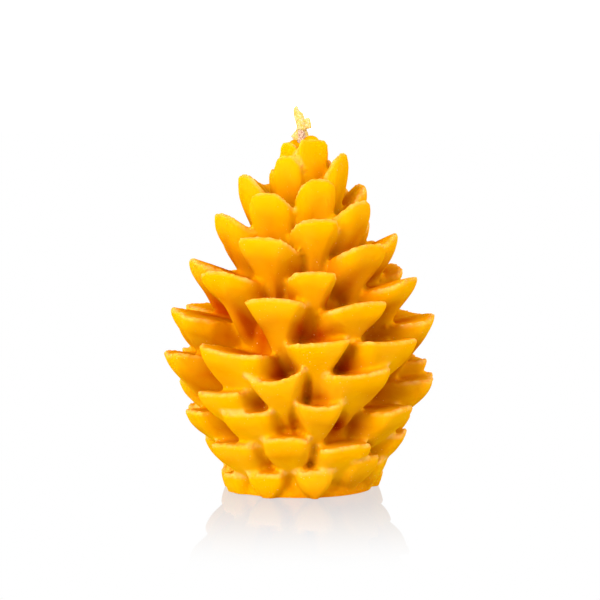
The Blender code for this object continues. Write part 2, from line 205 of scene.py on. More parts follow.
# The face of a scale, over the height of its tip. Its rim sags (+) or arches (-) by a share of half
# the scale's width, and its corners are square (1) or round (0). Below the rim the face narrows like
# a bowl, of a depth, power and curve, down to a stem that is a share of its width. Further in, the
# flanks reach deeper by a gain.
RIM_SAG = [(0, -0.05), (24, -0.04), (30, 0.04), (36, 0.12), (44, 0.06), (50, -0.08), (60, -0.14),
           (93, -0.14)]
CORNER = [(0, 0.45), (20, 0.5), (32, 0.68), (44, 0.75), (53, 0.5), (61, 0.35), (93, 0.25)]
BOWL_DEPTH = [(0, 11), (8, 11), (10, 10), (17, 10.5), (30, 11), (44, 9), (53, 8.5), (61, 8.2), (69, 9.5),
              (77, 10), (93, 7)]
BOWL_POWER = [(0, 2.6), (34, 2.4), (44, 2.0), (61, 2.2), (69, 2.6), (93, 2.6)]
BOWL_CURVE = [(0, 0.8), (26, 0.8), (34, 0.9), (44, 1.3), (56, 1.7), (61, 1.7), (67, 1.1), (93, 0.9)]
STEM_SHARE = [(0, 0.12), (30, 0.12), (42, 0.20), (60, 0.28), (93, 0.3)]
FLANK_GAIN = [(0, 0.3), (20, 0.4), (35, 1.0), (53, 1.1), (61, 0.5), (69, 0.3), (93, 0.1)]
FLANK_START = 5.0
FAN_REACH = 1.15
ENTRANCE_SLOPE = 0.2
TIP_THICKNESS = 0.9

# The keel's line: even, but blunt near the deck, and full only to a share of its depth
BOW_BLUNT = 0.4
BOW_HEIGHT = 9.0
BOW_FULL = 0.97
BOW_SAMPLES = 60
LEAST_REACH = 0.4

# What each scale takes from an outline where its own entry doesn't say
OVER_HEIGHT = {"radius": TIP_RADIUS, "width": SCALE_WIDTH, "sag": RIM_SAG, "corner": CORNER,
               "bowl": BOWL_DEPTH, "power": BOWL_POWER, "curve": BOWL_CURVE, "flank": FLANK_GAIN}

# Rings and columns of a scale's mesh
STATIONS = 26
STATION_BIAS = 1.7
LAST_SHARE = 0.85
DECK_COLUMNS = 13
HULL_COLUMNS = 12
CORE_SIDES = 64

# Cast edges: waves of several lengths, and notches, strongest by the rim
RIM_WAVE = 0.2
RIM_REACH = 2.0
EDGE_REACH = 0.5
WAVE_LENGTHS = (6.0, 2.7, 1.3)
WAVE_FADE = 0.6
NOTCH_COUNT = (1, 4)
NOTCH_DEPTH = (0.25, 0.8)
NOTCH_WIDTH = (0.4, 1.0)
RIM_SHARE = 0.6
RAGGED_SIZE = 1.1
RAGGED_HEIGHT = 0.5
RAGGED_REACH = 0.9
RAGGED_INWARD = 0.15
RAGGED_LEAST = 0.02

# The braid: strands that wind both ways round the wick and cross over and under each other
STRANDS_EACH_WAY = 4
BRAID_PITCH = 7.0
BRAID_RADIUS = 0.58
BRAID_WEAVE = 0.15
STRAND_RADIUS = 0.36
STRAND_SIDES = 8
BRAID_STEP = 0.3
WICK_THINNING = 0.75
WICK_BEND = 0.5
WICK_BEND_HEIGHT = 92.8
WICK_BEND_SPAN = 2.2
WICK_NECK = 1.2

# The crust's flakes from the top down: (height, left, right, middle across, half thickness)
FLAKES = [
    [(100.50, -1.10, -0.75, 0.0, 0.15), (100.2, -1.45, -0.50, 0.0, 0.40), (99.6, -1.75, -0.25, 0.0, 0.55),
     (99.1, -1.80, 0.20, 0.0, 0.65), (98.6, -1.72, 0.85, 0.0, 0.70), (97.8, -1.60, 1.05, 0.0, 0.75),
     (97.1, -1.40, 1.30, 0.0, 0.85), (96.5, -1.20, 1.00, 0.0, 0.85), (96.2, -1.00, 0.80, 0.1, 0.60)],
    [(96.9, 0.30, 0.80, -0.2, 0.60), (96.6, -0.90, 1.50, -0.1, 0.95), (96.0, -1.10, 1.50, -0.1, 1.05),
     (95.2, -0.95, 1.60, 0.0, 1.15), (94.5, -1.00, 1.80, 0.1, 1.15), (94.1, -1.10, 1.95, 0.4, 0.90),
     (93.6, -1.50, 2.10, 0.5, 0.80), (93.0, -2.00, 2.30, 0.6, 0.80), (92.6, -2.30, 2.50, 0.6, 0.90),
     (92.3, -2.00, 2.50, 0.6, 0.90), (91.6, -1.60, 2.40, 0.6, 0.80)],
    [(97.55, 1.80, 2.40, -0.3, 0.15), (97.2, 1.25, 2.65, -0.3, 0.30), (96.5, 0.80, 2.85, -0.3, 0.40),
     (95.8, 0.80, 2.95, -0.3, 0.45), (95.1, 1.00, 3.08, -0.3, 0.45), (94.75, 1.30, 2.95, -0.3, 0.35),
     (94.55, 1.80, 2.30, -0.3, 0.20)],
]
FLAKE_SIDES = 24
CRUST_VOXEL = 0.10
CRUST_LUMPS = [(1.6, 0.14), (0.6, 0.03)]

# Lumps of wax round the wick's foot: (x, y, z), (size along x, y, z)
MOUND = [
    ((2.90, -0.80, 91.4), (2.20, 1.60, 1.55)),
    ((-0.60, -1.60, 89.0), (2.00, 1.20, 1.80)),
    ((-1.40, 0.60, 90.6), (1.60, 1.60, 1.30)),
    ((0.60, 1.60, 90.8), (2.00, 1.60, 1.20)),
]
BLOB_ROWS = 12
BLOB_COLUMNS = 20

# The channel of the wick, from well below the base to above the wick's tip
BORE_RADIUS = 1.12
BORE_FOOT = -4.0
BORE_STEP = 1.0

# How the shells are fused: voxels, fillets where they meet, then lumps as (size, height)
VOXEL = 0.42
FILLET = 0.4
LUMPS = [(7.0, 0.16), (2.4, 0.05)]
WAX_TRIANGLES = 185000
FOOT_TOLERANCE = 0.01

# How the wax's openness, which sets the painted shade in its crevices, is measured: lines of sight from a
# little above each point
SIGHT = 14.0
SIGHT_LINES = 14
SIGHT_START = 0.15
SPOT_SPREAD = 0.98

# Where the wax counts as deck, which gets painted shade: by how much it faces up and how far it is from a rim
DECK_UPWARD = (0.30, 0.75)
DECK_FROM_RIM = (0.0, 0.7)
FACING_OUT = (0.0, 0.85)
SPREAD_ROUNDS = 3

# Linear colours
# Painted shade: the deep orange of crevices, deep parts of the faces and flanks turned sideways
WAX_PAINTED_SHADE = (0.32, 0.014, 0.0)
WAX_FACE = (0.61, 0.268, 0.0)
# Painted shade on the decks, which lie under the scales above
WAX_DECK_SHADE = (0.48, 0.12, 0.0)
WAX_TOP_FACE = (0.64, 0.31, 0.0)
WAX_PATCH = (0.61, 0.265, 0.01)
# Pale rims: partly the wax's own frosty bloom, partly a painted highlight where the rims catch the light
WAX_FROST_AND_HIGHLIGHT = (0.66, 0.36, 0.12)
WAX_SPECK = (0.80, 0.55, 0.28)
CRUST_YELLOW = (0.47, 0.31, 0.05)
CRUST_CREAM = (0.50, 0.38, 0.16)
THREAD_DARK = (0.36, 0.19, 0.11)
THREAD_LIGHT = (0.52, 0.37, 0.26)
WHITE = (1.0, 1.0, 1.0, 1.0)

# How much each measure lightens the wax's painted shade from deep orange to golden: openness, nearness to a
# rim, nearness to the cone's outline and facing outwards
OPEN_SHADE_SHARE = 0.12
RIM_DISTANCE_SHADE_SHARE = 0.43
OUTER_SHADE_SHARE = 0.27
FACING_SHADE_SHARE = 0.18

# The studio, in metres: lamps as (name, place, size, power, share of their gloss)
LAMP_AIM = Vector((0, 0, 0.05))
LAMPS = [
    ("key", (-0.50, -0.85, 0.42), 0.5, 16.0, 1.0),
    ("fill", (0.75, -0.7, 0.50), 0.6, 5.5, 1.0),
    ("back", (0.20, 1.0, 0.55), 0.7, 9.0, 0.1),
]
TABLE_HALF = 3.0
TABLE_DROP = 0.0001

# The backdrop is brighter than the table below an edge, given as the sine of its height in the sky,
# and the table mirrors a share of it near the candle, fading with the distance
BACKDROP = 2.0
BACKDROP_EDGE = (0.30, 0.20)
MIRROR_SHARE = 0.2
MIRROR_REACH = 0.12

CAMERA_PLACE = Vector((0, -0.75, 0.1176))
CAMERA_AIM = Vector((0, 0, 0.0491))
CAMERA_LENS = 171.8
CAMERA_SHIFT = 2 / 600


def along(outline, height):
    """The value of an outline at a height."""
    heights, values = zip(*outline)
    return float(np.interp(height, heights, values))


def smoothstep(low, high, value):
    """Smooth rise from 0 at low to 1 at high."""
    share = np.clip((value - low) / (high - low), 0.0, 1.0)
    return share * share * (3 - 2 * share)


def scale_places():
    """Where every scale's tip is and how its face runs, from the crown down to the base."""
    places = [dict(place) for place in CROWN]
    for number in range(SPIRAL_FIRST, SPIRAL_LAST + 1):
        azimuth = (SPIRAL_ZERO - SPIRAL_TURN * number + FULL_TURN / 2) % FULL_TURN - FULL_TURN / 2
        height = TIP_TOP - TIP_PITCH * number + TIP_PITCH_SLACKENING * number ** 2
        place = dict(azimuth=azimuth, height=height)
        place.update(STRAYS.get(number, {}))
        place.update(FACES.get(number, {}))
        places.append(place)
    for place in places:
        place.setdefault("roll", ROLL)
        for name, outline in OVER_HEIGHT.items():
            place.setdefault(name, along(outline, place["height"]))
    return places


class Scale:
    """One scale: a fan-shaped deck that narrows inwards, over a keel like a ship's bow."""

    def __init__(self, seed, place):
        height, radius = place["height"], place["radius"]
        turn = math.radians(place["azimuth"])
        self.outward = np.array((math.sin(turn), -math.cos(turn), 0.0))
        self.sideways = np.array((math.cos(turn), math.sin(turn), 0.0))
        self.roll = math.radians(place["roll"])
        self.sag = place["sag"]
        self.half_width = place["width"] / 2
        self.half_web = along(WEB_WIDTH, height) / 2
        self.shoulder = along(SHOULDER, height)
        self.tip = np.array((radius, height))
        tip_tilt = math.radians(along(TIP_TILT, height))
        root_tilt = math.radians(along(ROOT_TILT, height))
        root_radius = ROOT_SHARE * along(ROOT_RADIUS, height)
        reach = BEND_SHARE * (radius - root_radius) / max(math.cos(tip_tilt), LEAST_REACH)
        self.middle = self.tip - reach * np.array((math.cos(tip_tilt), math.sin(tip_tilt)))
        drop = (self.middle[0] - root_radius) * math.tan(root_tilt)
        self.root = np.array((root_radius, self.middle[1] - drop))
        legs = (self.tip - self.middle, self.middle - self.root)
        self.length = float(sum(np.linalg.norm(leg) for leg in legs))
        keel_angle = max(math.radians(along(KEEL_SLOPE, height)) - tip_tilt, math.radians(LEAST_KEEL_ANGLE))
        self.keel_rise = math.tan(keel_angle)
        self.keel_depth = along(KEEL_DEPTH, height)
        self.bowl = place["bowl"]
        self.bowl_power = place["power"]
        self.bowl_curve = place["curve"]
        self.corner = place["corner"]
        self.flank_gain = place["flank"]
        self.stem = along(STEM_SHARE, height)
        self.random = np.random.default_rng(seed)

    def wave(self, places, strength):
        """A gentle wave with a few notches, as cast edges have, at places along an edge in millimetres."""
        wave = np.zeros_like(places)
        for length in WAVE_LENGTHS:
            phase = self.random.uniform(0, 2 * math.pi)
            height = strength * (length / WAVE_LENGTHS[0]) ** WAVE_FADE
            wave += height * np.sin(2 * math.pi * places / length + phase)
        for _ in range(self.random.integers(*NOTCH_COUNT)):
            centre = self.random.uniform(places.min(), places.max())
            width = self.random.uniform(*NOTCH_WIDTH)
            wave -= self.random.uniform(*NOTCH_DEPTH) * np.exp(-((places - centre) / width) ** 2)
        return wave

    def bow(self, depth):
        """How far in from the tip the keel is at a depth under the deck."""
        share = np.clip((depth - TIP_THICKNESS) / self.keel_depth, 0, BOW_FULL)
        even = self.keel_depth / self.keel_rise * share / (1 - share ** 3) ** (1 / 3)
        return even * (BOW_BLUNT + (1 - BOW_BLUNT) * smoothstep(0, BOW_HEIGHT, depth))

    def deepest(self, distance):
        """Depth of the keel at a distance in from the tip."""
        depths = np.linspace(TIP_THICKNESS, TIP_THICKNESS + BOW_FULL * self.keel_depth, BOW_SAMPLES)
        return np.interp(distance, self.bow(depths), depths)

    def half(self, distance, depth):
        """Half the scale's width at a distance in from the tip and a depth under its deck."""
        behind = np.clip(distance - self.bow(depth), 0, None)
        bowl_depth = self.bowl + self.flank_gain * behind ** 2 / (behind + FLANK_START)
        bowl = (1 - np.clip(depth / bowl_depth, 0, 1) ** self.bowl_power) ** self.bowl_curve
        face = self.half_width * (self.stem + (1 - self.stem) * bowl)
        inward = (distance - self.shoulder - depth) / (FAN_REACH * self.length)
        fan = 1.0 - smoothstep(0.0, 1.0, inward)
        web = np.minimum(self.half_web, face)
        entrance = self.shoulder + ENTRANCE_SLOPE * depth
        rounded = np.clip(1 - behind / entrance, 0, 1)
        blunt = self.corner + (1 - self.corner) * np.sqrt(1 - rounded ** 2)
        return (web + (face - web) * fan) * blunt

    def grid(self):
        """Rings of points round the scale from its tip to its root, and how far in from the tip each is."""
        share = (LAST_SHARE * np.linspace(0, 1, STATIONS) ** STATION_BIAS)[:, None]
        distance = share * self.length
        under = np.sin(np.linspace(0, 0.5, HULL_COLUMNS) * math.pi)
        down_share = np.concatenate([np.zeros(DECK_COLUMNS), under, under[::-1]])[None, :]
        across = np.sin(np.linspace(-0.5, 0.5, DECK_COLUMNS) * math.pi)
        across = np.concatenate([across, np.ones(HULL_COLUMNS), -np.ones(HULL_COLUMNS)])[None, :]
        depth = down_share * self.deepest(distance)
        side = across * self.half(distance, depth)
        edge_wave = np.where(across < 0, self.wave(distance, RIM_WAVE), self.wave(distance, RIM_WAVE))
        near_rim = np.exp(-distance / (EDGE_REACH * self.length) - depth / RIM_REACH)
        side = side + across * edge_wave * near_rim
        front_wave = self.wave(across * self.half_width, RIM_WAVE) * np.exp((-distance - depth) / RIM_REACH)
        rise = self.sag * self.half_width * (side / self.half_width) ** 2 - depth
        at = (share - front_wave / self.length)[..., None]
        a, b, c = self.tip, self.middle, self.root
        point = (1 - at) ** 2 * a + 2 * at * (1 - at) * b + at ** 2 * c
        slope = 2 * (1 - at) * (b - a) + 2 * at * (c - b)
        slope /= np.linalg.norm(slope, axis=-1, keepdims=True)
        turned = side * math.cos(self.roll) - rise * math.sin(self.roll)
        rise = side * math.sin(self.roll) + rise * math.cos(self.roll)
        r = point[..., 0] + rise * slope[..., 1]
        z = point[..., 1] - rise * slope[..., 0]
        places = r[..., None] * self.outward + turned[..., None] * self.sideways
        places[..., 2] += z
        return places, np.broadcast_to(distance, r.shape)


def grid_faces(rows, columns, start):
    """Faces of a closed tube of rings, with both its ends."""
    faces = []
    for i in range(rows - 1):
        for j in range(columns):
            k = (j + 1) % columns
            near, far = start + i * columns, start + (i + 1) * columns
            faces.append((near + k, near + j, far + j, far + k))
    faces.append(tuple(start + j for j in range(columns)))
    faces.append(tuple(start + (rows - 1) * columns + j for j in reversed(range(columns))))
    return faces


def mesh_object(name, points, faces):
    """An object of points in millimetres, with its faces pointing out."""
    mesh = bpy.data.meshes.new(name)
    mesh.from_pydata((np.asarray(points) * MM).tolist(), [], faces)
    bm = bmesh.new()
    bm.from_mesh(mesh)
    bmesh.ops.recalc_face_normals(bm, faces=bm.faces)
    bm.to_mesh(mesh)
    bm.free()
    made = bpy.data.objects.new(name, mesh)
    bpy.context.scene.collection.objects.link(made)
    return made


def settle(shape):
    """Replaces an object's modifiers with the mesh that they make."""
    mesh = bpy.data.meshes.new_from_object(shape.evaluated_get(bpy.context.evaluated_depsgraph_get()))
    shape.modifiers.clear()
    shape.data = mesh
    return shape


def remesh(shape, voxel):
    """Adds a voxel remesh, in millimetres."""
    modifier = shape.modifiers.new("voxels", "REMESH")
    modifier.mode = "VOXEL"
    modifier.voxel_size = voxel * MM


def swell(shape, distance):
    """Adds an even growth along the normals, in millimetres."""
    modifier = shape.modifiers.new("swell", "DISPLACE")
    modifier.strength = distance * MM
    modifier.mid_level = 0.0


def smooth(shape, rounds):
    """Adds a light smoothing."""
    modifier = shape.modifiers.new("smooth", "SMOOTH")
    modifier.factor = 0.5
    modifier.iterations = rounds


def lumps(shape, sizes):
    """Moves a mesh's points along their normals by smooth noise of several sizes, in millimetres."""
    mesh = shape.data
    for vertex, normal in zip(mesh.vertices, [v.normal.copy() for v in mesh.vertices]):
        shift = sum(height * noise.noise(vertex.co / (size * MM)) for size, height in sizes)
        vertex.co += normal * (shift * MM)


def ragged(shape, near):
    """Makes rims uneven: moves points near one along their normals, by finer noise the nearer they are."""
    share = np.exp(-(near / RAGGED_REACH) ** 2)
    normals = [v.normal.copy() for v in shape.data.vertices]
    for vertex, normal, strength in zip(shape.data.vertices, normals, share):
        if strength > RAGGED_LEAST:
            rise = noise.noise(vertex.co / (RAGGED_SIZE * MM)) - RAGGED_INWARD
            vertex.co += normal * (strength * RAGGED_HEIGHT * MM * rise)


def blob(centre, size):
    """Points of a closed egg, ring by ring."""
    rings = []
    for polar in (np.arange(BLOB_ROWS) + 0.5) / BLOB_ROWS * math.pi:
        turns = np.linspace(0, 2 * math.pi, BLOB_COLUMNS, endpoint=False)
        ring = np.column_stack([math.sin(polar) * np.cos(turns), math.sin(polar) * np.sin(turns),
                                np.full(BLOB_COLUMNS, math.cos(polar))])
        rings.append(np.array(centre) + ring * np.array(size))
    return np.concatenate(rings)


def wax_shells():
    """Every scale and the core as closed shells that run into each other, and points along the rims."""
    points, faces, rims = [], [], []
    for seed, place in enumerate(scale_places()):
        scale = Scale(seed, place)
        grid, distance = scale.grid()
        rows, columns = distance.shape
        faces += grid_faces(rows, columns, sum(len(p) for p in points))
        points.append(grid.reshape(-1, 3))
        for column in (0, DECK_COLUMNS - 1):
            outer = distance[:, column] < RIM_SHARE * scale.length
            rims.append(grid[outer, column])
        rims.append(grid[0, :DECK_COLUMNS])
    turns = np.linspace(0, 2 * math.pi, CORE_SIDES, endpoint=False)
    rings = [np.column_stack([r * np.cos(turns), r * np.sin(turns), np.full(CORE_SIDES, z)])
             for r, z in CORE_OUTLINE]
    faces += grid_faces(len(rings), CORE_SIDES, sum(len(p) for p in points))
    points += rings
    for centre, size in MOUND:
        faces += grid_faces(BLOB_ROWS, BLOB_COLUMNS, sum(len(p) for p in points))
        points.append(blob(centre, size))
    return np.concatenate(points), faces, np.concatenate(rims)


def trim_flat(shape):
    """Cuts the base flat at the height of the table."""
    bm = bmesh.new()
    bm.from_mesh(shape.data)
    bmesh.ops.bisect_plane(bm, geom=bm.verts[:] + bm.edges[:] + bm.faces[:], plane_co=(0, 0, 0),
                           plane_no=(0, 0, -1), clear_outer=True)
    open_edges = [edge for edge in bm.edges if edge.is_boundary]
    bmesh.ops.triangle_fill(bm, edges=open_edges, use_beauty=True)
    bmesh.ops.recalc_face_normals(bm, faces=bm.faces)
    bm.to_mesh(shape.data)
    bm.free()


def bore(wax):
    """Cuts the channel of the wick through the wax."""
    turns = np.linspace(0, 2 * math.pi, FLAKE_SIDES, endpoint=False)
    heights = np.arange(BORE_FOOT, WICK_TIP, BORE_STEP)
    ring = BORE_RADIUS * np.column_stack([np.cos(turns), np.sin(turns), np.zeros(FLAKE_SIDES)])
    points = np.concatenate([wick_middle(height) + ring for height in heights])
    cutter = mesh_object("bore", points, grid_faces(len(heights), FLAKE_SIDES, 0))
    modifier = wax.modifiers.new("bore", "BOOLEAN")
    modifier.operation = "DIFFERENCE"
    modifier.solver = "MANIFOLD"
    modifier.object = cutter
    settle(wax)
    bpy.data.objects.remove(cutter)


def rim_distance(shape, rims):
    """Each point's distance to the nearest rim, in millimetres."""
    tree = kdtree.KDTree(len(rims))
    for i, rim in enumerate(rims):
        tree.insert(Vector(rim) * MM, i)
    tree.balance()
    return np.array([tree.find(v.co)[2] for v in shape.data.vertices]) / MM


def wax_body():
    """The casting: all shells fused, with fillets where they meet and rounded edges."""
    points, faces, rims = wax_shells()
    wax = mesh_object("cast_wax", points, faces)
    remesh(wax, VOXEL)
    swell(wax, FILLET)
    remesh(wax, VOXEL)
    swell(wax, -FILLET)
    remesh(wax, VOXEL)
    smooth(wax, 1)
    settle(wax)
    lumps(wax, LUMPS)
    ragged(wax, rim_distance(wax, rims))
    thin = wax.modifiers.new("thin", "DECIMATE")
    thin.ratio = min(1.0, WAX_TRIANGLES / (2 * len(wax.data.polygons)))
    settle(wax)
    bore(wax)
    trim_flat(wax)
    mark(wax, rims)
    wax.data.materials.clear()
    wax.data.materials.append(beeswax())
    wax.data.shade_smooth()
    sharpen_foot(wax)
    return wax


def sharpen_foot(wax):
    """Shades the cut base flat, with a sharp edge round it."""
    on_table = [vertex.co.z < FOOT_TOLERANCE * MM for vertex in wax.data.vertices]
    for edge in wax.data.edges:
        if all(on_table[i] for i in edge.vertices):
            edge.use_edge_sharp = True
    for face in wax.data.polygons:
        if all(on_table[i] for i in face.vertices):
            face.use_smooth = False


def wick_middle(height):
    """Middle of the wick at a height: upright in the wax, bent at its top, and leaning above it."""
    lean = max(height - WAX_TOP, 0.0) / (WICK_TIP - WAX_TOP)
    bend = WICK_BEND * math.exp(-((height - WICK_BEND_HEIGHT) / WICK_BEND_SPAN) ** 2)
    return np.array((WICK_LEAN[0] * lean + bend, WICK_LEAN[1] * lean, height))


def strand(number, way):
    """Rings of one strand's tube, winding one way and crossing the others over and under."""
    heights = np.arange(STRAND_RADIUS, WICK_TIP - STRAND_RADIUS, BRAID_STEP)
    places = []
    for height in heights:
        thin = 1 + (WICK_THINNING - 1) * smoothstep(COAT_FOOT, COAT_FOOT + WICK_NECK, height)
        turn = 2 * math.pi * (way * height / BRAID_PITCH + number / STRANDS_EACH_WAY)
        crossing = 2 * math.pi * STRANDS_EACH_WAY * height / BRAID_PITCH
        out = thin * (BRAID_RADIUS + way * BRAID_WEAVE * math.cos(crossing))
        places.append(wick_middle(height) + out * np.array((math.cos(turn), math.sin(turn), 0.0)))
    places = np.array(places)
    along_strand = np.gradient(places, axis=0)
    along_strand /= np.linalg.norm(along_strand, axis=1, keepdims=True)
    outward = places - np.array([wick_middle(height) for height in heights])
    side = np.cross(along_strand, outward)
    side /= np.linalg.norm(side, axis=1, keepdims=True)
    front = np.cross(side, along_strand)
    turns = np.linspace(0, 2 * math.pi, STRAND_SIDES, endpoint=False)[None, :, None]
    rings = places[:, None] + STRAND_RADIUS * (np.cos(turns) * front[:, None] + np.sin(turns) * side[:, None])
    return rings.reshape(-1, 3), len(heights)


def wick():
    """The braided cotton wick, through the whole height of the wax."""
    points, faces = [], []
    for way in (1, -1):
        for number in range(STRANDS_EACH_WAY):
            rings, rows = strand(number, way)
            faces += grid_faces(rows, STRAND_SIDES, sum(len(p) for p in points))
            points.append(rings)
    braid = mesh_object("braided_wick", np.concatenate(points), faces)
    braid.data.materials.append(cotton())
    braid.data.shade_smooth()
    return braid


def crust():
    """The flaky crust of pale wax on the wick's end, open in front where the braid shows."""
    points, faces = [], []
    turns = np.linspace(0, 2 * math.pi, FLAKE_SIDES, endpoint=False)
    for flake in FLAKES:
        faces += grid_faces(len(flake), FLAKE_SIDES, sum(len(p) for p in points))
        for height, left, right, across, half in flake:
            points.append(np.column_stack([(left + right) / 2 + (right - left) / 2 * np.cos(turns),
                                           across + half * np.sin(turns), np.full(FLAKE_SIDES, height)]))
    flakes = mesh_object("wick_crust", np.concatenate(points), faces)
    remesh(flakes, CRUST_VOXEL)
    smooth(flakes, 2)
    settle(flakes)
    lumps(flakes, CRUST_LUMPS)
    flakes.data.materials.clear()
    flakes.data.materials.append(crumbly_wax())
    flakes.data.shade_smooth()
    return flakes


def openness(shape):
    """How much of its surroundings each point of a mesh sees, from 0 in a crevice to 1 on a free face."""
    tree = bvhtree.BVHTree.FromPolygons([v.co for v in shape.data.vertices],
                                        [p.vertices for p in shape.data.polygons])
    spots = [sphere_point(i, SIGHT_LINES) for i in range(SIGHT_LINES)]
    seen = np.zeros(len(shape.data.vertices))
    for i, vertex in enumerate(shape.data.vertices):
        start = vertex.co + vertex.normal * (SIGHT_START * MM)
        free = 0
        for spot in spots:
            toward = vertex.normal + spot
            if tree.ray_cast(start, toward, SIGHT * MM)[0] is None:
                free += 1
        seen[i] = free / SIGHT_LINES
    return spread(shape, seen, SPREAD_ROUNDS)


def sphere_point(i, count):
    """Point i of an even spiral of points on a sphere."""
    z = (1 - (2 * i + 1) / count) * SPOT_SPREAD
    turn = i * math.pi * (3 - math.sqrt(5))
    r = math.sqrt(1 - z * z)
    return Vector((r * math.cos(turn), r * math.sin(turn), z))


def spread(shape, values, rounds):
    """Evens out values over a mesh's neighbouring points."""
    ends = np.zeros(2 * len(shape.data.edges), int)
    shape.data.edges.foreach_get("vertices", ends)
    ends = ends.reshape(-1, 2)
    count = len(values)
    degree = np.bincount(ends.ravel(), minlength=count)
    for _ in range(rounds):
        total = np.bincount(ends[:, 0], values[ends[:, 1]], count)
        total += np.bincount(ends[:, 1], values[ends[:, 0]], count)
        values = (values + total) / (1 + degree)
    return values


def mark(wax, rims):
    """Attributes for the colour and its painted shade: how far a point is from a rim, how open it lies, how
    much it is deck, how deep it lies inside the cone's outline, and how much it faces outwards."""
    near = rim_distance(wax, rims)
    normals = np.array([v.normal for v in wax.data.vertices])
    deck = smoothstep(*DECK_UPWARD, normals[:, 2]) * smoothstep(*DECK_FROM_RIM, near)
    places = np.array([v.co for v in wax.data.vertices]) / MM
    heights, radii = zip(*TIP_RADIUS)
    reach = np.hypot(places[:, 0], places[:, 1])
    inward = np.interp(places[:, 2], heights, radii) - reach
    outward = (normals[:, :2] * places[:, :2]).sum(axis=1) / np.maximum(reach, 1.0)
    facing = spread(wax, smoothstep(*FACING_OUT, outward), SPREAD_ROUNDS)
    found = {"rim_distance": near, "open": openness(wax), "deck": deck, "inward": inward, "facing": facing}
    for name, values in found.items():
        attribute = wax.data.attributes.new(name, "FLOAT", "POINT")
        attribute.data.foreach_set("value", values.astype(np.float32))


class Nodes:
    """Short ways to add and join shader nodes."""

    def __init__(self, name):
        self.material = bpy.data.materials.new(name)
        self.material.use_nodes = True
        self.tree = self.material.node_tree
        self.shader = self.tree.nodes["Principled BSDF"]

    def node(self, kind, **values):
        made = self.tree.nodes.new(kind)
        for name, value in values.items():
            if name in made.inputs:
                made.inputs[name].default_value = value
            else:
                setattr(made, name, value)
        return made

    def link(self, source, target):
        self.tree.links.new(source, target)

    def attribute(self, name):
        return self.node("ShaderNodeAttribute", attribute_name=name).outputs["Fac"]

    def position(self):
        return self.node("ShaderNodeTexCoord").outputs["Object"]

    def height(self):
        """Height over the table, in metres."""
        split = self.node("ShaderNodeSeparateXYZ")
        self.link(self.position(), split.inputs[0])
        return split.outputs["Z"]

    def noise(self, size, detail=2.0):
        """Noise whose features are about size millimetres wide."""
        made = self.node("ShaderNodeTexNoise", Scale=1.0 / (size * MM), Detail=detail)
        self.link(self.position(), made.inputs["Vector"])
        return made.outputs["Fac"]

    def ranged(self, value, low, high, to_low=0.0, to_high=1.0):
        """Value from low to high, mapped smoothly."""
        made = self.node("ShaderNodeMapRange", interpolation_type="SMOOTHSTEP")
        for name, number in (("From Min", low), ("From Max", high), ("To Min", to_low), ("To Max", to_high)):
            made.inputs[name].default_value = number
        self.link(value, made.inputs["Value"])
        return made.outputs["Result"]

    def math(self, operation, a, b):
        """Two values, each a socket or a number, joined by an operation."""
        made = self.node("ShaderNodeMath", operation=operation)
        for socket, value in zip(made.inputs, (a, b)):
            if isinstance(value, (int, float)):
                socket.default_value = value
            else:
                self.link(value, socket)
        return made.outputs["Value"]

    def times(self, a, b):
        return self.math("MULTIPLY", a, b)

    def plus(self, a, b):
        return self.math("ADD", a, b)

    def mix(self, share, a, b):
        """Colour a turned into colour b by a share."""
        made = self.node("ShaderNodeMix", data_type="RGBA")
        self.link(share, made.inputs["Factor"])
        for socket, value in ((made.inputs[6], a), (made.inputs[7], b)):
            if isinstance(value, tuple):
                socket.default_value = (*value, 1.0)
            else:
                self.link(value, socket)
        return made.outputs[2]

    def bump(self, heights):
        """Bump of several heights, each with its depth in millimetres."""
        normal = None
        for value, depth in heights:
            made = self.node("ShaderNodeBump", Distance=depth * MM)
            self.link(value, made.inputs["Height"])
            if normal:
                self.link(normal, made.inputs["Normal"])
            normal = made.outputs["Normal"]
        self.link(normal, self.shader.inputs["Normal"])

    def set(self, **values):
        for name, value in values.items():
            self.shader.inputs[name.replace("_", " ")].default_value = value


